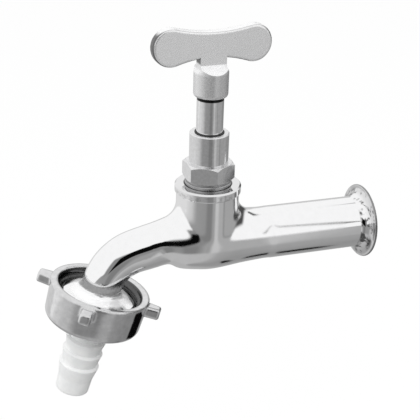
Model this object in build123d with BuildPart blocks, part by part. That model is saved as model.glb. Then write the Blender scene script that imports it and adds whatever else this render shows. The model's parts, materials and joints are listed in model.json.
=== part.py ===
from build123d import *
import os
from math import cos, radians, sin

# A garden tap that screws onto a wall pipe, with a hose tail held under its spout by a winged nut.
# Sizes are in millimetres. The origin is the centre of the wall flange's back face,
# X points into the wall, Z points up along the spindle, and the spout reaches towards minus X.

# Where the main parts stand
stem_reach = 69.3          # wall face to the spindle's axis
spout_run = 40.74          # spindle's axis to the spout's corner, along its slope
spout_leg = 12.53          # that corner down to the centre of the union nut's rim
outlet_tilt = 16.3         # lean of the outlet's axis away from plumb, in degrees

# Wall flange, pipe and inlet socket of the body
flange_radius = 15.4
flange_rim = 1.1
flange_flare = 4.2
pipe_radius = 10.75
waterway_radius = 6.0
socket_radius = 8.33
socket_depth = 12.0

# Barrel of the body, which swells out of the pipe round the chamber and narrows into the spout:
# distance past the spindle's axis, height over the pipe's axis, and radius
barrel = (
    (-26.3, 0.0, pipe_radius),
    (-19.3, 0.05, 10.84),
    (-12.8, 0.2, 11.4),
    (-6.3, 0.5, 12.3),
    (0.0, 0.8, 12.8),
    (6.3, 1.0, 12.3),
    (12.7, 1.05, 10.95),
)

# Neck and collar of the body
neck_foot = 0.8
neck_radius = 12.4
neck_height = 21.3
collar_radius = 13.05
collar_height = 3.6
collar_chamfer = 0.6
neck_fillet = 8.0

# Valve seat inside the chamber
chamber_floor = 3.0
seat_height = 1.3
seat_radius = 6.6
seat_hole_radius = 4.6
passage_radius = 4.3
passage_run = 19.3
passage_drop = 6.0

# Spout
spout_slope = 12.0
spout_root_height = 4.9
spout_plain = 19.6         # spindle's axis to the end of the barrel, along the slope
spout_bend_radius = 19.0
spout_root_radius = 8.95
spout_end_radius = 7.8
spout_bore_radius = 5.5
spout_bore_start = 7.0
spout_sections = 9

# Outlet: the dished shoulder and the male thread under it, as depths below the nut's rim
dish_top = 1.0
dish_edge = 3.3
dish_curve = 2.4
dish_round = 0.8
outlet_root_radius = 15.1
outlet_thread_rise = 1.25
outlet_end = 9.2
outlet_bore_radius = 8.0
outlet_thread_length = 3.2
outlet_thread_end = 0.9      # plain end of the outlet below its last thread
union_pitch = 2.309
union_ridge_base = 1.2
union_ridge_tip = 0.45
ridge_bite = 0.15          # depth that each thread ridge sinks into its core

# Union nut
nut_wall = 2.5             # wall at the rim
nut_taper = 0.85
nut_base_round = 2.3
nut_rim_round = 0.45
nut_entry_depth = 0.85
nut_lip = 1.9
nut_hole_radius = 9.5
nut_entry_step = 0.85      # entry over the thread's root
nut_thread_length = 7.4
lug_count = 4
lug_angle = 64.5
lug_stand = 5.3
lug_top = 0.9
lug_height = 4.6
lug_root_width = 6.4
lug_tip_width = 4.4
lug_round = 1.0

# Outlet washer and hose tail
washer_thickness = 2.0
tail_collar = 1.8
tail_radius = 7.2
tail_bore_radius = 5.0
tail_neck = 11.95           # washer to the first barb's edge
barb_spacing = 5.9
barb_count = 3
barb_radius = 8.25
barb_valley_radius = 7.05
barb_face = 0.7
tail_tip_radius = 6.8
tail_tip_length = 12.4
tail_tip_round = 1.0

# Bonnet, as it screws into the collar on its gasket
gasket_seat = 1.7
gasket_thickness = 0.85
bonnet_groove = 0.7
bonnet_groove_step = 0.05    # groove over the thread's crest
bonnet_flange_width = 0.9    # flange over the thread's crest
bonnet_flange = 1.45
hex_groove = 1.0
hex_groove_radius = 8.7
hex_flats = 18.0
hex_height = 6.7
hex_turn = 31.7
hex_corner_drop = 0.8
bonnet_chamfer = 0.3
tube_radius = 7.66
tube_height = 11.95
bonnet_thread_radius = 8.3
bonnet_thread_depth = 0.75
bonnet_ridge_base = 0.67
bonnet_ridge_tip = 0.27
bonnet_pitch = 1.337
bonnet_thread_length = 5.4
bonnet_depth = 8.05
wiper_width = 0.55
wiper_height = 1.25
wiper_stand = 0.3
guide_length = 13.2

# Spindle
stem_radius = 5.2
stem_length = 47.2
spindle_thread_rise = 0.95
spindle_thread_length = 14.0
spindle_pitch = 2.0
spindle_ridge_base = 1.0
spindle_ridge_tip = 0.4
bonnet_ridge_length = 11.0
spline_root_radius = 3.6
spline_radius = 4.1
spline_teeth = 18
spline_length = 8.0
ring_section = 0.85
ring_drop = 8.85             # top of the guide tube down to the lower ring
ring_spacing = 3.6
jumper_hole_depth = 9.4

# Jumper valve with its washer and nut
rest_lift = 3.0            # how far the valve stands open as pictured
valve_washer_thickness = 3.0
valve_washer_radius = 6.2
cup_wall = 0.8
cup_floor = 2.0
cup_skirt = 1.5
jumper_stem_radius = 2.9
stud_radius = 2.0
stud_stand = 0.5
valve_nut_flats = 7.0
valve_nut_height = 2.4

# Handle
handle_turn = 3.0
handle_stand = 0.3          # room between the stem's shoulder and the hub
hub_radius = 6.65
hub_round = 1.5
facet_rise = 9.65           # hub's foot to the foot of its sloping shoulders
facet_height = 2.85        # sloping shoulders in front and behind
side_facet_height = 1.0    # and at the two sides
wing_thickness = 4.4
wing_round = 1.15
lobe_spread = 16.3
lobe_rise = 19.7            # hub's foot to the middle of the lobes
lobe_radius = 7.15
waist_above = 5.25          # the waist's edges over and under that middle, halfway along the wing
waist_below = 4.5
shank_width = 10.4          # flat shank between the wing and the hub's shoulders
socket_room = 0.9           # free depth over the splined head
screw_radius = 2.0
screw_rise = 4.6
screw_inset = 0.15
screw_key = 2.0
screw_key_depth = 1.2

# Clearances
running = 0.05             # radial play of a shaft in its hole
thread_play = 0.3          # radial play between a thread's crest and the root that it faces
union_root_play = 0.4      # the same over the outlet's crest in the union nut
collar_play = 0.4          # washer and tail collar inside the union nut's thread
seat_gap = 0.1             # play between faces that close on each other
union_play = 0.05          # play of the washer, hose tail and union nut along the outlet
seal_play = 0.15           # radial room round a gasket or a bonnet flange

# Radii and heights on the spindle's axis that follow from those sizes
bonnet_flange_radius = bonnet_thread_radius + bonnet_flange_width
bonnet_groove_radius = bonnet_thread_radius + bonnet_groove_step
bonnet_root_radius = bonnet_thread_radius - bonnet_thread_depth
spindle_thread_radius = stem_radius + spindle_thread_rise
bonnet_thread_bore = spindle_thread_radius + thread_play
bonnet_ridge_radius = stem_radius + thread_play
wiper_radius = stem_radius + wiper_width
cup_radius = valve_washer_radius + cup_wall

body_top = neck_height + collar_height
gasket_floor = body_top - gasket_seat
bonnet_foot = gasket_floor + gasket_thickness
flange_foot = bonnet_foot + bonnet_groove
flange_head = flange_foot + bonnet_flange
hex_foot = flange_head + hex_groove
hex_head = hex_foot + hex_height
bonnet_top = hex_head + tube_height
bonnet_bottom = bonnet_foot - bonnet_depth
wiper_top = bonnet_top + wiper_stand
wiper_foot = wiper_top - wiper_height
seat_top = chamber_floor + seat_height
bonnet_bore_radius = bonnet_thread_radius + seat_gap

washer_foot = seat_top + seat_gap + rest_lift
cup_foot = washer_foot + valve_washer_thickness
cup_head = cup_foot + cup_floor
spindle_foot = cup_head + seat_gap
spindle_thread_foot = spindle_foot + spindle_pitch
ring_groove_radius = stem_radius + running / 2 - 2 * ring_section
ring_heights = (bonnet_top - ring_drop, bonnet_top - ring_drop + ring_spacing)

stem_shoulder = spindle_foot + stem_length
handle_bottom = stem_shoulder + handle_stand
socket_top = stem_shoulder + spline_length + socket_room
facet_foot = handle_bottom + facet_rise
facet_top = facet_foot + facet_height
side_facet_top = facet_foot + side_facet_height
lobe_height = handle_bottom + lobe_rise
waist_top = lobe_height + waist_above
waist_bottom = lobe_height - waist_below
screw_height = handle_bottom + screw_rise
screw_start = spline_radius + running + seat_gap
screw_end = hub_radius - screw_inset

# Radii and depths on the outlet's axis that follow from those sizes, counted down from the nut's rim
outlet_crest_radius = outlet_root_radius + outlet_thread_rise
nut_root_radius = outlet_crest_radius + union_root_play
nut_entry_radius = nut_root_radius + nut_entry_step
nut_rim_radius = nut_entry_radius + nut_wall
nut_base_radius = nut_rim_radius - nut_taper
lug_reach = nut_rim_radius + lug_stand
nut_crest_radius = outlet_root_radius + thread_play
washer_radius = nut_crest_radius - collar_play
washer_depth = outlet_end + union_play
collar_depth = washer_depth + washer_thickness
lip_depth = collar_depth + tail_collar + union_play
nut_height = lip_depth + nut_lip
first_barb = collar_depth + tail_neck
tail_end = first_barb + (barb_count - 1) * barb_spacing + tail_tip_length

# Planes and axes that the parts are set out on
stem_section = Plane(origin=(-stem_reach, 0, 0), x_dir=(1, 0, 0), z_dir=(0, -1, 0))
stem_axis = Axis((-stem_reach, 0, 0), (0, 0, 1))
pipe_section = Plane(origin=(0, 0, 0), x_dir=(0, 0, 1), z_dir=(0, 1, 0))
pipe_axis = Axis((0, 0, 0), (1, 0, 0))

slope, lean = radians(spout_slope), radians(outlet_tilt)
along_spout = Vector(-cos(slope), 0, -sin(slope))
spout_start = Vector(-stem_reach, 0, spout_root_height)
spout_corner = spout_start + along_spout * spout_run
outlet = Plane(
    origin=spout_corner - Vector(sin(lean), 0, cos(lean)) * spout_leg,
    x_dir=(cos(lean), 0, -sin(lean)),
    z_dir=(sin(lean), 0, cos(lean)),
)
outlet_section = Plane(origin=outlet.origin, x_dir=outlet.x_dir, z_dir=(0, -1, 0))
outlet_axis = Axis(outlet.origin, outlet.z_dir)
spout_end = outlet.offset(-dish_edge).origin


def stem_level(height):
    """Level plane at a height on the spindle's axis."""
    return Plane(origin=(-stem_reach, 0, height), x_dir=(1, 0, 0), z_dir=(0, 0, 1))


def outline(section, points):
    """Closed outline on a section plane, given as radius and height."""
    with BuildSketch(section) as drawn:
        with BuildLine():
            Polyline(*points, close=True)
        make_face()
    return drawn.sketch


def disc(plane, radius):
    """Round face on a plane."""
    with BuildSketch(plane) as drawn:
        Circle(radius)
    return drawn.sketch


def ring_points(inner, outer, low, high):
    """Outline of a plain ring or sleeve."""
    return [(inner, low), (outer, low), (outer, high), (inner, high)]


def thread_ridge(level, pitch, length, root, crest, base, tip):
    """One right-hand thread ridge that climbs from a level plane; it points in where crest is under root."""
    bite = ridge_bite if crest > root else -ridge_bite
    helix = Helix(pitch, length, root, center=level.origin, direction=level.z_dir)
    start = helix @ 0
    outward = (start - level.origin).normalized()
    ridge_section = Plane(origin=start, x_dir=outward, z_dir=helix % 0)
    profile = [
        (-bite, -base / 2),
        (crest - root, -tip / 2),
        (crest - root, tip / 2),
        (-bite, base / 2),
    ]
    return sweep(outline(ridge_section, profile), path=helix, is_frenet=True)


def waist_arc(side, waist):
    """Arc of the wing's waist, tangent to both lobes; side is 1 for the upper edge, -1 for the lower."""
    arc_radius = (lobe_spread ** 2 + waist ** 2 - lobe_radius ** 2) / (2 * (lobe_radius - waist))
    to_centre = Vector(-lobe_spread, side * (waist + arc_radius), 0).normalized()
    touch = Vector(lobe_spread, lobe_height, 0) + to_centre * lobe_radius
    return ThreePointArc((-touch.X, touch.Y), (0, lobe_height + side * waist), (touch.X, touch.Y))


def shoulder_cut(plane, half_width, shoulder_top):
    """Outline beside the shank and over the hub's sloping shoulders, on both sides."""
    with BuildSketch(plane) as cut:
        with BuildLine():
            Polyline(
                (half_width, shoulder_top),
                (hub_radius, facet_foot),
                (2 * hub_radius, facet_foot),
                (2 * hub_radius, waist_top),
                (half_width, waist_top),
                close=True,
            )
        make_face()
        mirror(about=Plane.YZ)
    return cut.sketch


def spout_route(start):
    """Middle line of the spout from a point on its slope, round its bend and down to the dish."""
    with BuildLine(Plane.XZ) as route:
        FilletPolyline(start, spout_corner, spout_end, radius=spout_bend_radius)
    return route.wires()[0]


def round_section(line, share, radius):
    """Round section across a line at a share of its length."""
    return disc(Plane(origin=line @ share, x_dir=(0, 1, 0), z_dir=line % share), radius)


def outlet_foot(edge):
    """Point of the outlet's axis that is level with an edge."""
    up = outlet_axis.direction
    return outlet.origin + up * (edge.center() - outlet.origin).dot(up)


def save(piece, name):
    """Label one finished piece and write it to its own file."""
    piece.part.label = name
    export_step(piece.part, f"parts/{name}.step")


os.makedirs("parts", exist_ok=True)

# Thread ridges; each inner one stands half a pitch off its outer one, so the pair meshes with play
outlet_thread_low = outlet_end - outlet_thread_end
outlet_ridge = thread_ridge(
    outlet.offset(-outlet_thread_low), union_pitch, outlet_thread_length,
    outlet_root_radius, outlet_crest_radius, union_ridge_base, union_ridge_tip,
)
nut_ridge = thread_ridge(
    outlet.offset(-outlet_thread_low - union_pitch / 2), union_pitch, nut_thread_length,
    nut_root_radius, nut_crest_radius, union_ridge_base, union_ridge_tip,
)
spindle_ridge = thread_ridge(
    stem_level(spindle_thread_foot), spindle_pitch, spindle_thread_length,
    stem_radius, spindle_thread_radius, spindle_ridge_base, spindle_ridge_tip,
)
bonnet_inner_ridge = thread_ridge(
    stem_level(spindle_thread_foot + spindle_pitch + spindle_pitch / 2), spindle_pitch, bonnet_ridge_length,
    bonnet_thread_bore, bonnet_ridge_radius, spindle_ridge_base, spindle_ridge_tip,
)
bonnet_outer_ridge = thread_ridge(
    stem_level(bonnet_bottom + bonnet_pitch), bonnet_pitch, bonnet_thread_length,
    bonnet_root_radius, bonnet_thread_radius, bonnet_ridge_base, bonnet_ridge_tip,
)

# Threaded end of the outlet, a sleeve with its ridge
with BuildPart() as outlet_thread:
    outlet_sleeve = ring_points(outlet_bore_radius, outlet_root_radius, -outlet_end, -dish_edge - dish_round)
    revolve(outline(outlet_section, outlet_sleeve), axis=outlet_axis)
    add(outlet_ridge)

# Middle lines of the barrel, of the spout and of its waterway
spout_path = spout_route(spout_start + along_spout * spout_plain)
barrel_points = [Vector(-stem_reach - past, 0, height) for past, height, radius in barrel]
with BuildLine(Plane.XZ) as barrel_route:
    Spline(*barrel_points, spout_path @ 0, tangents=[(-1, 0), (-cos(slope), -sin(slope))])
barrel_line = barrel_route.wires()[0]
bore_line = spout_route(spout_start + along_spout * spout_bore_start)

# Round sections of the barrel and of the spout
barrel_sections = [
    round_section(barrel_line, barrel_line.param_at_point(point), station[-1])
    for point, station in zip(barrel_points, barrel)
]
spout_shares = [step / (spout_sections - 1) for step in range(spout_sections)]
spout_radii = [spout_root_radius + share * (spout_end_radius - spout_root_radius) for share in spout_shares]
spout_discs = [round_section(spout_path, share, radius) for share, radius in zip(spout_shares, spout_radii)]

# Body: one chromed casting with flange, pipe, chamber, collar, spout and outlet
with BuildPart() as body:
    # wall flange that flares out of the plain pipe
    with BuildSketch(pipe_section):
        with BuildLine():
            pipe_end = barrel_points[0].X
            flare_start = (pipe_radius, -flange_rim - flange_flare)
            flare_end = (flange_radius - flange_rim / 2, -flange_rim)
            Polyline((0, 0), (0, pipe_end), (pipe_radius, pipe_end), flare_start)
            TangentArc(flare_start, flare_end, tangent=(0, 1))
            ThreePointArc(flare_end, (flange_radius, -flange_rim / 2), (flange_radius - flange_rim / 2, 0))
            Line((flange_radius - flange_rim / 2, 0), (0, 0))
        make_face()
    revolve(axis=pipe_axis)

    # barrel and spout as one skin, and the neck that rises out of the barrel to the collar
    loft(barrel_sections + spout_discs)
    before_neck = body.edges()
    neck = outline(stem_section, [
        (0, neck_foot),
        (neck_radius, neck_foot),
        (neck_radius, neck_height),
        (collar_radius, neck_height + collar_chamfer),
        (collar_radius, body_top - collar_chamfer),
        (collar_radius - collar_chamfer, body_top),
        (0, body_top),
    ])
    revolve(neck, axis=stem_axis)
    neck_join = (body.edges() - before_neck).filter_by(GeomType.BSPLINE)
    fillet(neck_join, radius=neck_fillet)

    # dished shoulder that spreads from the spout to the outlet's threaded end
    before_dish = body.edges()
    with BuildSketch(outlet_section):
        with BuildLine():
            rim_foot = (outlet_root_radius, -dish_edge - dish_round)
            Polyline(rim_foot, (0, rim_foot[1]), (0, -dish_top), (spout_end_radius, -dish_top))
            dish_slope = Line((spout_end_radius, -dish_top), (outlet_root_radius - dish_round, -dish_edge))
            TangentArc(dish_slope @ 1, rim_foot, tangent=dish_slope % 1)
        make_face()
    revolve(axis=outlet_axis)
    dish_join = (body.edges() - before_dish).filter_by(GeomType.BSPLINE)
    fillet([e for e in dish_join if outlet.to_local_coords(e.center()).Z < 0], radius=dish_curve)

    # inlet socket and waterway up to the chamber
    passage_start = Vector(passage_run - stem_reach, 0, 0)
    inlet = Plane(origin=(0, 0, 0), z_dir=(-1, 0, 0))
    extrude(disc(inlet, socket_radius), socket_depth, mode=Mode.SUBTRACT)
    extrude(disc(inlet, waterway_radius), -passage_start.X, mode=Mode.SUBTRACT)
    under_seat = Vector(-stem_reach, 0, -passage_drop)
    passage = under_seat - passage_start
    passage_mouth = Plane(origin=passage_start, x_dir=(0, 1, 0), z_dir=passage)
    extrude(disc(passage_mouth.offset(-passage_radius), passage_radius),
            passage.length + passage_radius, mode=Mode.SUBTRACT)

    # bore for the bonnet, gasket seat, valve seat and its hole
    bonnet_bore = outline(stem_section, [
        (0, body_top),
        (bonnet_flange_radius + seal_play, body_top),
        (bonnet_flange_radius + seal_play, gasket_floor),
        (bonnet_bore_radius, gasket_floor),
        (bonnet_bore_radius, chamber_floor),
        (seat_radius, chamber_floor),
        (seat_radius, seat_top),
        (0, seat_top),
    ])
    revolve(bonnet_bore, axis=stem_axis, mode=Mode.SUBTRACT)
    extrude(disc(stem_level(-passage_drop), seat_hole_radius), passage_drop + seat_top, mode=Mode.SUBTRACT)

    # waterway through the spout, and the outlet's mouth
    sweep(disc(Plane(origin=bore_line @ 0, x_dir=(0, 1, 0), z_dir=bore_line % 0), spout_bore_radius),
          path=bore_line, mode=Mode.SUBTRACT)
    mouth = outline(outlet_section, [
        (0, -dish_edge),
        (spout_bore_radius, -dish_edge),
        (outlet_bore_radius, -dish_edge - dish_round),
        (0, -dish_edge - dish_round),
    ])
    revolve(mouth, axis=outlet_axis, mode=Mode.SUBTRACT)
    add(outlet_thread)

save(body, "body")

# Bonnet: threaded foot, shoulder, hexagon and guide tube for the spindle
with BuildPart() as bonnet:
    with BuildSketch(stem_level(hex_foot)):
        RegularPolygon(hex_flats / 2, 6, major_radius=False, rotation=hex_turn)
    extrude(amount=hex_height)
    corner_radius = hex_flats / 2 / cos(radians(30))
    hex_envelope = outline(stem_section, [
        (0, hex_foot),
        (hex_flats / 2, hex_foot),
        (corner_radius, hex_foot + hex_corner_drop),
        (corner_radius, hex_head - hex_corner_drop),
        (hex_flats / 2, hex_head),
        (0, hex_head),
    ])
    revolve(hex_envelope, axis=stem_axis, mode=Mode.INTERSECT)
    bonnet_outline = outline(stem_section, [
        (0, bonnet_bottom),
        (bonnet_root_radius, bonnet_bottom),
        (bonnet_root_radius, bonnet_foot),
        (bonnet_groove_radius, bonnet_foot),
        (bonnet_groove_radius, flange_foot),
        (bonnet_flange_radius, flange_foot),
        (bonnet_flange_radius, flange_head - bonnet_chamfer),
        (bonnet_flange_radius - bonnet_chamfer, flange_head),
        (hex_groove_radius, flange_head),
        (hex_groove_radius, hex_foot),
        (tube_radius, hex_foot),
        (tube_radius, bonnet_top - bonnet_chamfer),
        (tube_radius - bonnet_chamfer, bonnet_top),
        (0, bonnet_top),
    ])
    revolve(bonnet_outline, axis=stem_axis)
    bonnet_hollow = outline(stem_section, [
        (0, bonnet_bottom),
        (bonnet_thread_bore, bonnet_bottom),
        (bonnet_thread_bore, bonnet_top - guide_length),
        (stem_radius + running, bonnet_top - guide_length),
        (stem_radius + running, wiper_foot),
        (wiper_radius, wiper_foot),
        (wiper_radius, bonnet_top),
        (0, bonnet_top),
    ])
    revolve(bonnet_hollow, axis=stem_axis, mode=Mode.SUBTRACT)
    add(bonnet_outer_ridge)
    add(bonnet_inner_ridge)

save(bonnet, "bonnet")

# Flat gasket under the bonnet
with BuildPart() as bonnet_gasket:
    gasket_points = ring_points(bonnet_bore_radius, bonnet_flange_radius, gasket_floor, bonnet_foot)
    revolve(outline(stem_section, gasket_points), axis=stem_axis)

save(bonnet_gasket, "bonnet_gasket")

# Wiper ring that keeps grit out at the top of the guide tube
with BuildPart() as wiper_ring:
    wiper_points = ring_points(stem_radius + running, wiper_radius, wiper_foot, wiper_top)
    revolve(outline(stem_section, wiper_points), axis=stem_axis)

save(wiper_ring, "wiper_ring")

# Spindle: screw, smooth stem with two ring grooves, and a splined head for the handle
with BuildPart() as spindle:
    stem_outline = outline(stem_section, [
        (0, spindle_foot),
        (stem_radius, spindle_foot),
        (stem_radius, stem_shoulder),
        (spline_root_radius, stem_shoulder),
        (spline_root_radius, stem_shoulder + spline_length),
        (0, stem_shoulder + spline_length),
    ])
    revolve(stem_outline, axis=stem_axis)
    with BuildSketch(stem_level(stem_shoulder)):
        with PolarLocations(spline_root_radius, spline_teeth):
            Rectangle(2 * (spline_radius - spline_root_radius), spline_radius - spline_root_radius)
    extrude(amount=spline_length)
    for height in ring_heights:
        groove = ring_points(ring_groove_radius, stem_radius, height - ring_section, height + ring_section)
        revolve(outline(stem_section, groove), axis=stem_axis, mode=Mode.SUBTRACT)
    jumper_hole = disc(stem_level(spindle_foot), jumper_stem_radius + running)
    extrude(jumper_hole, jumper_hole_depth, mode=Mode.SUBTRACT)
    add(spindle_ridge)

save(spindle, "spindle")

# Two rubber rings that seal the stem in the guide tube
for name, height in zip(("lower_o_ring", "upper_o_ring"), ring_heights):
    with BuildPart() as o_ring:
        with BuildSketch(stem_section):
            with Locations((ring_groove_radius + ring_section, height)):
                Circle(ring_section)
        revolve(axis=stem_axis)
    save(o_ring, name)

# Jumper valve: cup, guide stem and stud
with BuildPart() as jumper_valve:
    jumper_outline = outline(stem_section, [
        (0, washer_foot - valve_nut_height - stud_stand),
        (stud_radius, washer_foot - valve_nut_height - stud_stand),
        (stud_radius, cup_foot),
        (valve_washer_radius, cup_foot),
        (valve_washer_radius, cup_foot - cup_skirt),
        (cup_radius, cup_foot - cup_skirt),
        (cup_radius, cup_head),
        (jumper_stem_radius, cup_head),
        (jumper_stem_radius, spindle_foot + jumper_hole_depth - seat_gap),
        (0, spindle_foot + jumper_hole_depth - seat_gap),
    ])
    revolve(jumper_outline, axis=stem_axis)

save(jumper_valve, "jumper_valve")

# Rubber washer that closes on the seat
with BuildPart() as valve_washer:
    washer_points = ring_points(stud_radius, valve_washer_radius, washer_foot, cup_foot)
    revolve(outline(stem_section, washer_points), axis=stem_axis)

save(valve_washer, "valve_washer")

# Small nut that holds the washer on its stud
with BuildPart() as washer_nut:
    with BuildSketch(stem_level(washer_foot - valve_nut_height)):
        RegularPolygon(valve_nut_flats / 2, 6, major_radius=False)
        Circle(stud_radius, mode=Mode.SUBTRACT)
    extrude(amount=valve_nut_height)

save(washer_nut, "washer_nut")

# Handle: a hub with sloping shoulders under a two-lobed wing
turn_angle = radians(handle_turn)
along_wing = Vector(cos(turn_angle), sin(turn_angle), 0)
across_wing = Vector(sin(turn_angle), -cos(turn_angle), 0)
wing_plane = Plane(origin=(-stem_reach, 0, 0), x_dir=along_wing, z_dir=across_wing)
shoulder_plane = Plane(origin=(-stem_reach, 0, 0), x_dir=-across_wing, z_dir=along_wing)
screw_plane = Plane(origin=(-stem_reach, 0, screw_height), x_dir=along_wing, z_dir=-across_wing)

with BuildPart() as handle:
    extrude(disc(stem_level(handle_bottom), hub_radius), waist_bottom - handle_bottom)
    fillet(handle.edges().filter_by(GeomType.CIRCLE).sort_by(Axis.Z)[0], radius=hub_round)
    front_cut = shoulder_cut(shoulder_plane, wing_thickness / 2, facet_top)
    side_cut = shoulder_cut(wing_plane, shank_width / 2, side_facet_top)
    extrude(front_cut, hub_radius, both=True, mode=Mode.SUBTRACT)
    extrude(side_cut, hub_radius, both=True, mode=Mode.SUBTRACT)
    with BuildSketch(wing_plane):
        with Locations((-lobe_spread, lobe_height), (lobe_spread, lobe_height)):
            Circle(lobe_radius)
        with BuildLine():
            upper_arc = waist_arc(1, waist_above)
            lower_arc = waist_arc(-1, waist_below)
            Line(upper_arc @ 0, lower_arc @ 0)
            Line(upper_arc @ 1, lower_arc @ 1)
        make_face()
    extrude(amount=wing_thickness / 2, both=True)
    flat_faces = handle.faces().filter_by(Plane(origin=(0, 0, 0), z_dir=across_wing))
    wing_faces = flat_faces.sort_by(SortBy.AREA)[-2:]
    fillet(wing_faces.edges().filter_by(GeomType.CIRCLE), radius=wing_round)
    stem_socket = disc(stem_level(handle_bottom), spline_radius + running)
    extrude(stem_socket, socket_top - handle_bottom, mode=Mode.SUBTRACT)
    extrude(disc(screw_plane, screw_radius), hub_radius, mode=Mode.SUBTRACT)

save(handle, "handle")

# Grub screw that locks the handle, let into the back of its hub
with BuildPart() as handle_screw:
    with BuildSketch(screw_plane.offset(screw_start)):
        Circle(screw_radius)
    extrude(amount=screw_end - screw_start)
    with BuildSketch(screw_plane.offset(screw_end)):
        RegularPolygon(screw_key / 2, 6, major_radius=False)
    extrude(amount=-screw_key_depth, mode=Mode.SUBTRACT)

save(handle_screw, "handle_screw")

# Union nut with four lugs to turn it by
with BuildPart() as union_nut:
    nut_outline = outline(outlet_section, [
        (0, -nut_height),
        (nut_base_radius, -nut_height),
        (nut_rim_radius, 0),
        (0, 0),
    ])
    revolve(nut_outline, axis=outlet_axis)
    nut_circles = union_nut.edges().filter_by(GeomType.CIRCLE).sort_by(outlet_axis)
    fillet(nut_circles[0], radius=nut_base_round)
    with BuildSketch(outlet.offset(-lug_top)):
        with PolarLocations(0, lug_count, start_angle=lug_angle):
            Polygon(
                (nut_entry_radius, -lug_root_width / 2),
                (lug_reach, -lug_tip_width / 2),
                (lug_reach, lug_tip_width / 2),
                (nut_entry_radius, lug_root_width / 2),
                align=None,
            )
    extrude(amount=-lug_height)
    beyond_rim = nut_rim_radius + lug_round
    tip_edges = union_nut.edges().filter_by(lambda e: (e.center() - outlet_foot(e)).length > beyond_rim)
    fillet(tip_edges, radius=lug_round)
    rim_edge = union_nut.edges().filter_by(GeomType.CIRCLE).sort_by(outlet_axis)[-1]
    fillet(rim_edge, radius=nut_rim_round)
    nut_hollow = outline(outlet_section, [
        (0, -nut_height),
        (nut_hole_radius, -nut_height),
        (nut_hole_radius, -lip_depth),
        (nut_root_radius, -lip_depth),
        (nut_root_radius, -nut_entry_depth),
        (nut_entry_radius, 0),
        (0, 0),
    ])
    revolve(nut_hollow, axis=outlet_axis, mode=Mode.SUBTRACT)
    add(nut_ridge)

save(union_nut, "union_nut")

# Flat washer between the outlet and the hose tail
with BuildPart() as outlet_washer:
    washer_ring = ring_points(outlet_bore_radius, washer_radius, -collar_depth, -washer_depth)
    revolve(outline(outlet_section, washer_ring), axis=outlet_axis)

save(outlet_washer, "outlet_washer")

# Hose tail: a collar held by the union nut, a plain neck and barbs that grip a hose
with BuildPart() as hose_tail:
    tail_points = [
        (tail_bore_radius, -collar_depth),
        (washer_radius, -collar_depth),
        (washer_radius, -collar_depth - tail_collar),
        (tail_radius, -collar_depth - tail_collar),
    ]
    for barb in range(barb_count):
        peak = first_barb + barb * barb_spacing
        tail_points += [
            (barb_valley_radius, -peak + barb_face),
            (barb_radius, -peak),
        ]
    tail_points += [
        (barb_valley_radius, -first_barb - barb_count * barb_spacing),
        (tail_tip_radius, -tail_end),
        (tail_bore_radius, -tail_end),
    ]
    revolve(outline(outlet_section, tail_points), axis=outlet_axis)
    tip_rim = hose_tail.edges().filter_by(GeomType.CIRCLE).sort_by(outlet_axis)[:2].sort_by(SortBy.RADIUS)[-1]
    fillet(tip_rim, radius=tail_tip_round)

save(hose_tail, "hose_tail")
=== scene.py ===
import json
from math import cos, radians, sin

import bpy
from mathutils import Matrix, Vector


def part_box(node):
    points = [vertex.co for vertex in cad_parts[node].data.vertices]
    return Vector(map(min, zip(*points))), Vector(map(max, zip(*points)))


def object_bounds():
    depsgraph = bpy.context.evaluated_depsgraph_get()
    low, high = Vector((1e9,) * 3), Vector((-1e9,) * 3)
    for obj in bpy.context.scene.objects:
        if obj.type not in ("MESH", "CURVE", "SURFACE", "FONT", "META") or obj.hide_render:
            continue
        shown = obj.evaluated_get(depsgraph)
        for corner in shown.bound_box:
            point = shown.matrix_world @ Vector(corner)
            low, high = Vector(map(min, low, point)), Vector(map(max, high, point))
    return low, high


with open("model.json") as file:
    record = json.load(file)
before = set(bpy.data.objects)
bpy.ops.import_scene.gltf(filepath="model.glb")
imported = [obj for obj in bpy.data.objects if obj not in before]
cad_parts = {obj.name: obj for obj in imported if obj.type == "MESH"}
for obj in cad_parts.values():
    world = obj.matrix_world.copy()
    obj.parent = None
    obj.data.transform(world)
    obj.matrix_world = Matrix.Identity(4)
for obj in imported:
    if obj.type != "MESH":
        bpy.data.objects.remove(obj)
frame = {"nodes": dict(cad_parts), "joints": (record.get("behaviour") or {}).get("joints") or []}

cad_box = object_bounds()
nodes = frame["nodes"]
joints = {joint["name"]: joint for joint in frame["joints"]}

MICRON = 0.000001
WHITE = (1.0, 1.0, 1.0)

# The photograph's camera: where it looks, from how far, and its lens
VIEW_TURN = radians(-19.3)
VIEW_RISE = radians(24.87)
VIEW_ROLL = radians(1.886)
VIEW_TARGET = Vector((-0.06805, 0.0, 0.012746))
VIEW_DISTANCE = 0.35804
NEAREST, FARTHEST = 0.01, 50.0
FRAME_PIXELS = 420
FOCAL_PIXELS = 900.3
SENSOR_WIDTH = 36.0

# The tap's three axes, each a point and a direction; two of them are joints of the frame
INLET = (0.0, 0.0, 0.0)
INLET_AXIS = (1.0, 0.0, 0.0)
STEM = joints["spindle_turn"]["pos_m"]
STEM_AXIS = joints["spindle_turn"]["axis"]
OUTLET = joints["union_nut_turn"]["pos_m"]
OUTLET_AXIS = joints["union_nut_turn"]["axis"]

# Collar, and the foot of the bonnet's hexagon over it: heights, and distances from the stem's axis.
# These and all other places on the tap are in metres.
COLLAR_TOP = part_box("body")[1].z
COLLAR_RIM = COLLAR_TOP - 0.0006
COLLAR_SIDE_TOP = COLLAR_TOP - 0.0012
COLLAR_FLOOR = COLLAR_TOP - 0.0024
COLLAR_FOOT = COLLAR_TOP - 0.0036
COLLAR_INSIDE, COLLAR_OUTSIDE = 0.0096, 0.0127
HEX_FOOT = COLLAR_TOP + 0.0023

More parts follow.
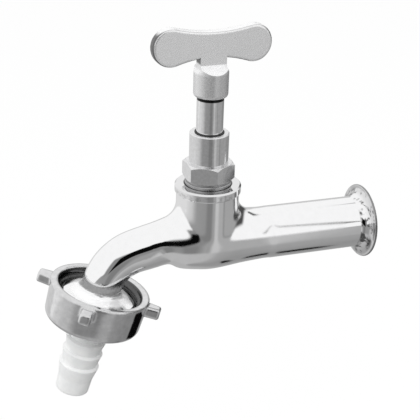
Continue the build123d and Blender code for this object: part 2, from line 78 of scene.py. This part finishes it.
# Flange: places along the pipe, and distances from its axis
FLANGE_FRONT = -0.0055
FLARE_START, FLARE_END = -0.0052, -0.0013
FLANGE_FOOT, FLANGE_EDGE = 0.0122, 0.01515

# Blend between spout and dish: distances from the outlet's axis, and its height either way
FOOT_INSIDE, FOOT_OUTSIDE = 0.0080, 0.0122
FOOT_HEIGHT = 0.0042
NUT_INSIDE = 0.0172         # inner radius of the union nut

# Handle: its joint with the stem, where a shadow is painted, its hub and its wing
HANDLE_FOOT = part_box("handle")[0].z
GAP_FOOT, GAP_TOP = HANDLE_FOOT - 0.0011, HANDLE_FOOT + 0.0004
HUB_TOP = HANDLE_FOOT + 0.0095
WING_FOOT = HANDLE_FOOT + 0.0130
WING_TURN = radians(3.0)
SATIN = 0.79                # share of the handle's shine that is metallic; the rest is even

# Blends whose reflections run smoothly: how far the smoothing reaches, and where it is on the body
BODY_EASE, NUT_EASE = 0.0032, 0.0016
EASE_TOP = COLLAR_FOOT - 0.0028
EASE_LEFT, EASE_RIGHT = -0.087, -0.012
EASE_EDGE = 0.004

# Widths of a mask's edge
CRISP = 0.0002
SOFT = 0.001

# How squarely a face looks one way, from 0 to 1: clearly, a little less, half and hardly
SQUARE, NEARLY_SQUARE, HALF_TURNED, HARDLY = 0.9, 0.85, 0.6, 0.3

# Most of a noise's values lie between these; clouds are coarser than the grain by this share
NOISE_LOW, NOISE_HIGH = 0.3, 0.7
CLOUD_SHARE = 0.3

# Floor: its depth under the tap, its half width and its grey
FLOOR_DROP = 0.09
FLOOR_HALF = 4.0
FLOOR_TONE = 0.9
FLOOR_WHITE = 0.9           # share of the floor's own white; the rest takes the tap's faint shadow

# Lamps: name, place and power
LAMP_SIZE = 0.8
LAMPS = (
    ("key", (-0.75, -0.7, 0.85), 6.0),
    ("fill", (0.7, -0.5, 0.5), 2.0),
)

# The studio as directions from the tap, in degrees: turn counts from the camera's side, right is positive.
# Brightness of the floor and of the grey band over it, and the height where the white wall starts
FLOOR_TONES = (
    (-180, 0.46), (-90, 0.46), (0, 0.50), (34, 0.48), (46, 0.37), (80, 0.30), (150, 0.32), (180, 0.46),
)
BAND_TONES = (
    (-180, 0.62), (-140, 0.76), (-84, 0.76), (-55, 0.60), (-45, 0.44), (-36, 0.33), (-4, 0.30), (4, 0.22),
    (18, 0.22), (25, 0.36), (29, 0.33), (33, 0.56), (41, 0.56), (47, 0.42), (60, 0.42), (65, 0.27),
    (70, 0.38), (105, 0.38), (125, 0.31), (145, 0.30), (160, 0.55), (180, 0.62),
)
WALL_FOOT = (
    (-180, 10), (-150, 0), (-110, -20), (-60, -9), (-30, 2), (40, 3), (70, 0), (120, -4), (150, 2),
    (165, 14), (180, 12),
)
WALL_EDGE = 3
WALL_REACH = 40.0           # the wall's foot lies within this many degrees of level
BAND_FOOT, BAND_EDGE = -33, 8

# Soft dark cards: middle and half width of the turn, then of the rise, slant, edge, brightness
CARDS = (
    (7, 27, 12, 15, 0.0, 8, 0.26),              # wide grey card in front
    (12, 17, 16, 12.5, 0.5, 3.0, 0.003),        # slanting black card in front
    (120, 38, 3, 15, -0.22, 12, 0.075),         # wide dark card on the right
    (131, 23, -46, 6, 0.0, 4, 0.003),           # black card low on the right
    (144, 7, 40, 15, 0.0, 5, 0.12),             # narrow dark card high on the right
    (47.3, 0.8, 32, 14, 0.0, 0.8, 0.3),         # thin upright grey strip
    (108, 17, -67, 1.8, 0.0, 1.5, 0.003),       # thin black strip, very low on the right
)


class Tree:
    """A small helper that adds nodes to one node tree and links them."""

    # Sockets of a Mix node for each kind of data: first value, second value, result
    MIX_SOCKETS = {"FLOAT": (2, 3, 0), "VECTOR": (4, 5, 1), "RGBA": (6, 7, 2)}

    def __init__(self, tree):
        self.tree = tree
        tree.nodes.clear()

    def add(self, kind, **settings):
        """New node of a kind, with its settings."""
        node = self.tree.nodes.new(kind)
        for key, setting in settings.items():
            setattr(node, key, setting)
        return node

    def feed(self, value, socket):
        """Link a node's output to a socket, or set a constant on it."""
        if isinstance(value, bpy.types.NodeSocket):
            self.tree.links.new(value, socket)
        elif socket.type == "RGBA":
            socket.default_value = (*value, 1.0)
        else:
            socket.default_value = value

    def math(self, operation, *values):
        """One step of arithmetic."""
        node = self.add("ShaderNodeMath", operation=operation)
        for value, socket in zip(values, node.inputs):
            self.feed(value, socket)
        return node.outputs[0]

    def product(self, first, *others):
        """All values multiplied; for masks, where all of them are 1."""
        for other in others:
            first = self.math("MULTIPLY", first, other)
        return first

    def vector(self, operation, *values):
        """One step of vector arithmetic; a length and a dot product come back as a number."""
        node = self.add("ShaderNodeVectorMath", operation=operation)
        for value, socket in zip(values, node.inputs):
            self.feed(value, socket)
        return node.outputs["Value" if operation in ("LENGTH", "DOT_PRODUCT") else "Vector"]

    def axes(self, vector):
        """The three parts of a vector."""
        split = self.add("ShaderNodeSeparateXYZ")
        self.feed(vector, split.inputs[0])
        return split.outputs

    def span(self, value, low, high, to_low=0.0, to_high=1.0, smooth=True):
        """Map a value from one range to another and stop at its ends."""
        node = self.add("ShaderNodeMapRange", interpolation_type="SMOOTHSTEP" if smooth else "LINEAR")
        self.feed(value, node.inputs["Value"])
        self.feed(low, node.inputs["From Min"])
        self.feed(high, node.inputs["From Max"])
        self.feed(to_low, node.inputs["To Min"])
        self.feed(to_high, node.inputs["To Max"])
        return node.outputs["Result"]

    def above(self, value, level, edge=CRISP):
        """1 over a level and 0 under it."""
        return self.span(value, level - edge / 2, level + edge / 2)

    def below(self, value, level, edge=CRISP):
        """1 under a level and 0 over it."""
        return self.span(value, level + edge / 2, level - edge / 2)

    def between(self, value, low, high, edge=CRISP):
        """1 between two levels and 0 outside them."""
        return self.product(self.above(value, low, edge), self.below(value, high, edge))

    def ramp(self, value, stops):
        """Grey ramp from (place, brightness) stops."""
        node = self.add("ShaderNodeValToRGB")
        elements = node.color_ramp.elements
        while len(elements) < len(stops):
            elements.new(0.5)
        for element, (place, level) in zip(elements, stops):
            element.position = place
            element.color = (level, level, level, 1.0)
        self.feed(value, node.inputs["Fac"])
        return node.outputs["Color"]

    def mix(self, factor, first, second, kind="RGBA", blend="MIX"):
        """Blend two colours, vectors or numbers; each is an output or a constant."""
        node = self.add("ShaderNodeMix", data_type=kind, blend_type=blend)
        first_socket, second_socket, result = self.MIX_SOCKETS[kind]
        self.feed(factor, node.inputs[0])
        self.feed(first, node.inputs[first_socket])
        self.feed(second, node.inputs[second_socket])
        return node.outputs[result]

    def seen(self):
        """1 for what the camera sees, straight on or through clear material, and 0 for the rest."""
        path = self.add("ShaderNodeLightPath")
        return self.math("MAXIMUM", path.outputs["Is Camera Ray"], path.outputs["Is Transmission Ray"])


class Finish(Tree):
    """A node material with one Principled shader, worked out in its piece's own coordinates."""

    def __init__(self, name, metallic=0.0):
        self.material = bpy.data.materials.new(name)
        self.material.use_nodes = True
        super().__init__(self.material.node_tree)
        self.shader = self.add("ShaderNodeBsdfPrincipled")
        self.feed(metallic, self.shader.inputs["Metallic"])
        output = self.add("ShaderNodeOutputMaterial")
        self.feed(self.shader.outputs[0], output.inputs["Surface"])
        place = self.add("ShaderNodeTexCoord")
        self.coords = place.outputs["Object"]
        self.normal = place.outputs["Normal"]
        self.across, _, self.height = self.axes(self.coords)

    def noise(self, scale, detail=2.0, roughness=0.5, coords=None):
        """Noise value at a scale given in grains per metre."""
        node = self.add("ShaderNodeTexNoise")
        self.feed(self.coords if coords is None else coords, node.inputs["Vector"])
        self.feed(scale, node.inputs["Scale"])
        self.feed(detail, node.inputs["Detail"])
        self.feed(roughness, node.inputs["Roughness"])
        return node.outputs["Fac"]

    def patches(self, scale, low, high):
        """Ragged patches: the places where a noise is over a level, from low to high."""
        return self.span(self.noise(scale, detail=3.0, roughness=0.6), low, high)

    def from_axis(self, point, axis):
        """Distance of each place from an axis of the tap."""
        offset = self.vector("SUBTRACT", self.coords, point)
        return self.vector("LENGTH", self.vector("CROSS_PRODUCT", offset, axis))

    def along_axis(self, point, axis):
        """Distance of each place from a point, counted along an axis of the tap."""
        return self.vector("DOT_PRODUCT", self.vector("SUBTRACT", self.coords, point), axis)

    def colour(self, grains, dark, light):
        """Colour the surface from dark to light along a noise."""
        self.feed(self.mix(self.span(grains, NOISE_LOW, NOISE_HIGH), dark, light),
                  self.shader.inputs["Base Color"])

    def gloss(self, grains, low, high):
        """Roughness from low to high along a noise."""
        self.feed(self.span(grains, NOISE_LOW, NOISE_HIGH, low, high), self.shader.inputs["Roughness"])

    def bump(self, height, depth, normal=None):
        """Raise the surface by a height field, up to a depth in metres, and return its new normal."""
        node = self.add("ShaderNodeBump")
        self.feed(1.0, node.inputs["Strength"])
        self.feed(depth, node.inputs["Distance"])
        self.feed(height, node.inputs["Height"])
        if normal is not None:
            self.feed(normal, node.inputs["Normal"])
        self.feed(node.outputs[0], self.shader.inputs["Normal"])
        return node.outputs[0]

    def rounded(self, reach):
        """Normals that take an edge as a soft round, within a reach in metres."""
        bevel = self.add("ShaderNodeBevel", samples=8)
        self.feed(reach, bevel.inputs["Radius"])
        return bevel.outputs[0]

    def darken(self, cover, level):
        """Take the colour down to a share of itself where the cover is 1."""
        socket = self.shader.inputs["Base Color"]
        colour = socket.links[0].from_socket
        shade = self.mix(cover, WHITE, (level, level, level))
        self.feed(self.mix(1.0, colour, shade, blend="MULTIPLY"), socket)

    def soften(self, cover, rough, metallic=None):
        """Set the roughness, and the metal's share where one is given, where the cover is 1."""
        socket = self.shader.inputs["Roughness"]
        gloss = socket.links[0].from_socket
        self.feed(self.mix(cover, gloss, rough, kind="FLOAT"), socket)
        if metallic is not None:
            self.feed(self.span(cover, 0, 1, 1.0, metallic, smooth=False), self.shader.inputs["Metallic"])


def place_camera():
    """Camera at the photograph's viewing angle."""
    back = Vector((sin(VIEW_TURN) * cos(VIEW_RISE), -cos(VIEW_TURN) * cos(VIEW_RISE), sin(VIEW_RISE)))
    right = Vector((cos(VIEW_TURN), sin(VIEW_TURN), 0.0))
    up = back.cross(right)
    rolled_right = cos(VIEW_ROLL) * right + sin(VIEW_ROLL) * up
    rolled_up = -sin(VIEW_ROLL) * right + cos(VIEW_ROLL) * up
    data = bpy.data.cameras.new("camera")
    data.sensor_width = SENSOR_WIDTH
    data.lens = FOCAL_PIXELS * SENSOR_WIDTH / FRAME_PIXELS
    data.clip_start = NEAREST
    data.clip_end = FARTHEST
    camera = bpy.data.objects.new("camera", data)
    bpy.context.scene.collection.objects.link(camera)
    turn = Matrix((rolled_right, rolled_up, back)).transposed()
    camera.matrix_world = Matrix.Translation(VIEW_TARGET + back * VIEW_DISTANCE) @ turn.to_4x4()
    bpy.context.scene.camera = camera


def light_studio():
    """World that is plain white to the camera and a light room to everything else."""
    world = bpy.data.worlds.new("studio")
    bpy.context.scene.world = world
    world.use_nodes = True
    tree = Tree(world.node_tree)
    direction = tree.add("ShaderNodeTexCoord").outputs["Generated"]
    front = tree.vector("DOT_PRODUCT", direction, (sin(VIEW_TURN), -cos(VIEW_TURN), 0.0))
    side = tree.vector("DOT_PRODUCT", direction, (cos(VIEW_TURN), sin(VIEW_TURN), 0.0))
    turn = tree.math("DEGREES", tree.math("ARCTAN2", side, front))
    rise = tree.math("DEGREES", tree.math("ARCSINE", tree.axes(direction)[2]))
    tone = paint_room(tree, turn, rise)
    for card in CARDS:
        tone = hang_card(tree, turn, rise, tone, *card)
    background = tree.add("ShaderNodeBackground")
    tree.feed(tree.mix(tree.seen(), tone, WHITE), background.inputs["Color"])
    output = tree.add("ShaderNodeOutputWorld")
    tree.feed(background.outputs[0], output.inputs["Surface"])


def paint_room(tree, turn, rise):
    """Grey floor, a band of greys over it, and a white wall and ceiling."""
    share = tree.span(turn, -180, 180, smooth=False)
    floor = tree.ramp(share, round_the_room(FLOOR_TONES))
    band = tree.ramp(share, round_the_room(BAND_TONES))
    foot_share = tree.ramp(share, round_the_room(WALL_FOOT, -WALL_REACH, 2 * WALL_REACH))
    foot = tree.span(foot_share, 0, 1, -WALL_REACH, WALL_REACH, smooth=False)
    tone = tree.mix(tree.above(rise, BAND_FOOT, BAND_EDGE), floor, band)
    return tree.mix(tree.above(tree.math("SUBTRACT", rise, foot), 0, WALL_EDGE), tone, WHITE)


def round_the_room(stops, low=0.0, height=1.0):
    """Turn stops in degrees into places from 0 to 1, with their values counted from low."""
    return [((turn + 180) / 360, (value - low) / height) for turn, value in stops]


def hang_card(tree, turn, rise, tone, turn_middle, turn_half, rise_middle, rise_half, slant, edge, level):
    """Put one soft card in front of the room."""
    across = tree.math("SUBTRACT", turn, turn_middle)
    middle = tree.math("ADD", tree.math("MULTIPLY", across, slant), rise_middle)
    along = tree.math("SUBTRACT", rise, middle)
    cover = tree.product(tree.below(tree.math("ABSOLUTE", across), turn_half, edge),
                         tree.below(tree.math("ABSOLUTE", along), rise_half, edge))
    return tree.mix(cover, tone, (level, level, level))


def lay_floor():
    """Plain pale floor well under the tap, which the metal doesn't mirror."""
    height = cad_box[0][2] - FLOOR_DROP
    corners = [(x * FLOOR_HALF, y * FLOOR_HALF, height) for x, y in ((-1, -1), (1, -1), (1, 1), (-1, 1))]
    mesh = bpy.data.meshes.new("floor")
    mesh.from_pydata(corners, [], [(0, 1, 2, 3)])
    mesh.materials.append(floor_material())
    floor = bpy.data.objects.new("floor", mesh)
    bpy.context.scene.collection.objects.link(floor)
    floor.visible_glossy = False
    floor.visible_diffuse = False


def floor_material():
    """White to the camera, with a little of the tap's shadow."""
    material = bpy.data.materials.new("floor")
    material.use_nodes = True
    tree = Tree(material.node_tree)
    matte = tree.add("ShaderNodeBsdfDiffuse")
    tree.feed((FLOOR_TONE, FLOOR_TONE, FLOOR_TONE), matte.inputs["Color"])
    white = tree.add("ShaderNodeEmission")
    tree.feed(WHITE, white.inputs["Color"])
    blend = tree.add("ShaderNodeMixShader")
    tree.feed(tree.math("MULTIPLY", tree.seen(), FLOOR_WHITE), blend.inputs[0])
    tree.feed(matte.outputs[0], blend.inputs[1])
    tree.feed(white.outputs[0], blend.inputs[2])
    output = tree.add("ShaderNodeOutputMaterial")
    tree.feed(blend.outputs[0], output.inputs["Surface"])
    return material


def hang_lamps():
    """Two large soft lamps: one up on the left in front, one weaker on the right."""
    for name, place, power in LAMPS:
        data = bpy.data.lights.new(name, "AREA")
        data.shape = "DISK"
        data.size = LAMP_SIZE
        data.energy = power
        lamp = bpy.data.objects.new(name, data)
        bpy.context.scene.collection.objects.link(lamp)
        lamp.location = place
        lamp.visible_glossy = False
        lamp.rotation_euler = (VIEW_TARGET - Vector(place)).to_track_quat("-Z", "Y").to_euler()


def dimmer(tint, loss):
    """A colour that has lost a share of its brightness."""
    return tuple(channel * (1.0 - loss) for channel in tint)


def chrome(name, tint, rough, wave, wave_depth, grain, grain_depth, mottle, metallic=1.0, ease=None):
    """Chromed metal: wide soft waves of the buffed shape, fine grain and a slightly uneven gloss."""
    finish = Finish(name, metallic)
    clouds = finish.noise(grain * CLOUD_SHARE, detail=4.0)
    finish.colour(clouds, dark=dimmer(tint, loss=2 * mottle), light=tint)
    finish.gloss(finish.noise(grain, detail=3.0), low=rough * 0.7, high=rough * 1.4)
    eased = ease(finish) if ease else None
    waved = finish.bump(finish.noise(wave, detail=1.0), wave_depth, eased)
    finish.bump(finish.noise(grain, detail=3.0), grain_depth, waved)
    return finish


def turned_chrome(name, tint, rough, ring_pitch, ring_depth):
    """Chromed metal turned on a lathe: fine rings round the upright axis."""
    finish = Finish(name, metallic=1.0)
    stretched = finish.add("ShaderNodeCombineXYZ")
    finish.feed(finish.math("MULTIPLY", finish.height, 1.0 / ring_pitch), stretched.inputs[2])
    rings = finish.noise(scale=1.0, roughness=0.7, coords=stretched.outputs[0])
    clouds = finish.noise(scale=900.0, detail=4.0)
    finish.colour(clouds, dark=dimmer(tint, loss=0.1), light=tint)
    finish.gloss(rings, low=rough * 0.7, high=rough * 1.3)
    finish.bump(rings, ring_depth)
    return finish


def plain(name, tint, rough, grain, depth, metallic=0.0):
    """Rubber, fibre, brass or steel with an even grain."""
    finish = Finish(name, metallic)
    grains = finish.noise(grain, detail=4.0)
    finish.colour(grains, dark=dimmer(tint, loss=0.15), light=tint)
    finish.gloss(grains, low=rough * 0.8, high=rough * 1.15)
    finish.bump(grains, depth)
    return finish


def milky_plastic():
    """Natural white moulded plastic that lets some light through."""
    finish = Finish("white_plastic")
    clouds = finish.noise(scale=260.0, detail=3.0)
    finish.colour(clouds, dark=(0.86, 0.87, 0.87), light=(0.93, 0.935, 0.93))
    finish.gloss(clouds, low=0.32, high=0.45)
    finish.feed(0.5, finish.shader.inputs["Subsurface Weight"])
    finish.feed((1.0, 1.0, 1.0), finish.shader.inputs["Subsurface Radius"])
    finish.feed(0.003, finish.shader.inputs["Subsurface Scale"])
    finish.bump(finish.noise(scale=1500.0), depth=10 * MICRON)
    return finish


def cast_body():
    """Polished casting, nearly a mirror."""
    finish = chrome("chrome_cast", tint=(0.92, 0.92, 0.925), rough=0.04, wave=60.0, wave_depth=12 * MICRON,
                    grain=1400.0, grain_depth=0.6 * MICRON, mottle=0.01, ease=ease_body)
    shade_collar(finish)
    shade_flange(finish)
    shade_spout_foot(finish)
    return finish


def ease_body(finish):
    """Smooth reflections over the blends of pipe, neck and spout, and sharp rims elsewhere."""
    share = finish.product(finish.below(finish.height, EASE_TOP, EASE_EDGE),
                           finish.between(finish.across, EASE_LEFT, EASE_RIGHT, EASE_EDGE))
    sharp = finish.add("ShaderNodeNewGeometry").outputs["Normal"]
    return finish.mix(share, sharp, finish.rounded(BODY_EASE), kind="VECTOR")


def shade_collar(finish):
    """Collar with painted shade on its inside, a rim less bright than the rest and faint patches round its
    side.
    """
    radius = finish.from_axis(STEM, STEM_AXIS)
    inside = finish.product(finish.below(radius, COLLAR_INSIDE), finish.above(finish.height, COLLAR_FLOOR))
    # Painted shade: the recess inside the collar, round the bonnet, is darkened.
    finish.darken(inside, level=0.12)
    finish.darken(finish.above(finish.height, COLLAR_RIM), level=0.84)
    side = finish.product(finish.between(finish.height, COLLAR_FOOT, COLLAR_SIDE_TOP, edge=0.0008),
                          finish.above(radius, COLLAR_OUTSIDE))
    finish.darken(finish.product(side, finish.patches(scale=420.0, low=0.45, high=0.62)), level=0.72)


def shade_flange(finish):
    """Flange with painted dark reflections in ragged patches in its flare, a little darker all over, and a
    darker edge.
    """
    flare = finish.between(finish.across, FLARE_START, FLARE_END, edge=0.0008)
    # Painted reflection: ragged dark patches in the flare stand in for dark things mirrored there.
    finish.darken(finish.product(flare, finish.patches(scale=230.0, low=0.48, high=0.60)), level=0.14)
    radius = finish.from_axis(INLET, INLET_AXIS)
    flange = finish.product(finish.above(radius, FLANGE_FOOT, edge=0.002),
                            finish.above(finish.across, FLANGE_FRONT, SOFT))
    finish.darken(flange, level=0.78)
    finish.darken(finish.product(finish.above(radius, FLANGE_EDGE, edge=0.0003), flange), level=0.4)


def shade_spout_foot(finish):
    """Hollow between spout and dish, which is less of a mirror."""
    radius = finish.from_axis(OUTLET, OUTLET_AXIS)
    height = finish.along_axis(OUTLET, OUTLET_AXIS)
    foot = finish.product(finish.between(radius, FOOT_INSIDE, FOOT_OUTSIDE, edge=0.002),
                          finish.between(height, -FOOT_HEIGHT, FOOT_HEIGHT, edge=0.003))
    finish.soften(foot, rough=0.12, metallic=0.25)


def turned_bonnet():
    """Turned bonnet with painted shade on its foot down in the collar, and rougher there and on its upward
    faces.
    """
    finish = turned_chrome("chrome_bonnet", tint=(0.84, 0.84, 0.845), rough=0.07, ring_pitch=0.00035,
                           ring_depth=1 * MICRON)
    # Painted shade: the bonnet's foot down in the collar is darkened; the same mask also makes it rougher.
    foot = finish.below(finish.height, HEX_FOOT)
    finish.darken(foot, level=0.5)
    upward = finish.span(finish.axes(finish.normal)[2], HARDLY, HALF_TURNED)
    finish.soften(finish.math("MAXIMUM", foot, upward), rough=0.35)
    return finish


def turned_stem():
    """Bright turned stem, with a painted shadow where it enters the handle."""
    finish = turned_chrome("chrome_stem", tint=(0.86, 0.86, 0.865), rough=0.05, ring_pitch=0.0003,
                           ring_depth=0.8 * MICRON)
    paint_gap_shadow(finish)
    return finish


def paint_gap_shadow(finish):
    """Painted shadow in the gap where stem and handle meet."""
    finish.darken(finish.between(finish.height, GAP_FOOT, GAP_TOP), level=0.03)


def satin_handle():
    """Satin handle: a painted shadow in the joint at its foot, painted shade on the wing's rim except on
    top, and a hub a little darker than the wing.
    """
    finish = chrome("chrome_handle", tint=(0.95, 0.95, 0.955), rough=0.3, wave=120.0, wave_depth=2 * MICRON,
                    grain=1500.0, grain_depth=0.8 * MICRON, mottle=0.01, metallic=SATIN)
    paint_gap_shadow(finish)
    # Painted shade: the wing's edges that face neither front, back nor up are darkened.
    facing = finish.vector("DOT_PRODUCT", finish.normal, (sin(WING_TURN), -cos(WING_TURN), 0.0))
    rim = finish.span(finish.math("ABSOLUTE", facing), SQUARE, HALF_TURNED)
    not_upward = finish.span(finish.axes(finish.normal)[2], NEARLY_SQUARE, HALF_TURNED)
    on_wing = finish.above(finish.height, WING_FOOT, SOFT)
    finish.darken(finish.product(rim, not_upward, on_wing), level=0.15)
    finish.darken(finish.below(finish.height, HUB_TOP, SOFT), level=0.8)
    return finish


def uneven_nut_with_painted_shade():
    """Union nut with slightly uneven sides, soft edges and painted shade on its inside."""
    finish = chrome("chrome_nut", tint=(0.74, 0.74, 0.745), rough=0.07, wave=230.0, wave_depth=30 * MICRON,
                    grain=1300.0, grain_depth=3 * MICRON, mottle=0.06, ease=ease_nut)
    # Painted shade: the inside of the nut, round the hose tail, is darkened.
    finish.darken(finish.below(finish.from_axis(OUTLET, OUTLET_AXIS), NUT_INSIDE), level=0.16)
    return finish


def ease_nut(finish):
    """Smooth reflections over all of the nut's edges."""
    return finish.rounded(NUT_EASE)


def dress(finish, *names):
    """Give CAD nodes their finish."""
    for name in names:
        node = nodes[name]
        if not node.material_slots:
            node.data.materials.append(finish.material)
        for slot in node.material_slots:
            slot.material = finish.material


bpy.context.scene.view_settings.view_transform = "Standard"
place_camera()
light_studio()
lay_floor()
hang_lamps()

dress(cast_body(), "body")
dress(turned_bonnet(), "bonnet")
dress(turned_stem(), "spindle")
dress(satin_handle(), "handle")
dress(uneven_nut_with_painted_shade(), "union_nut")
dress(milky_plastic(), "hose_tail")
dress(plain("brass", tint=(0.72, 0.55, 0.28), rough=0.3, grain=1500.0, depth=3 * MICRON, metallic=1.0),
      "jumper_valve", "washer_nut")
dress(plain("rubber", tint=(0.02, 0.02, 0.02), rough=0.6, grain=2500.0, depth=10 * MICRON),
      "wiper_ring", "upper_o_ring", "lower_o_ring", "valve_washer", "outlet_washer")
dress(plain("fibre", tint=(0.12, 0.12, 0.12), rough=0.8, grain=2500.0, depth=20 * MICRON), "bonnet_gasket")
dress(plain("screw_steel", tint=(0.3, 0.3, 0.31), rough=0.35, grain=2000.0, depth=4 * MICRON, metallic=1.0),
      "handle_screw")
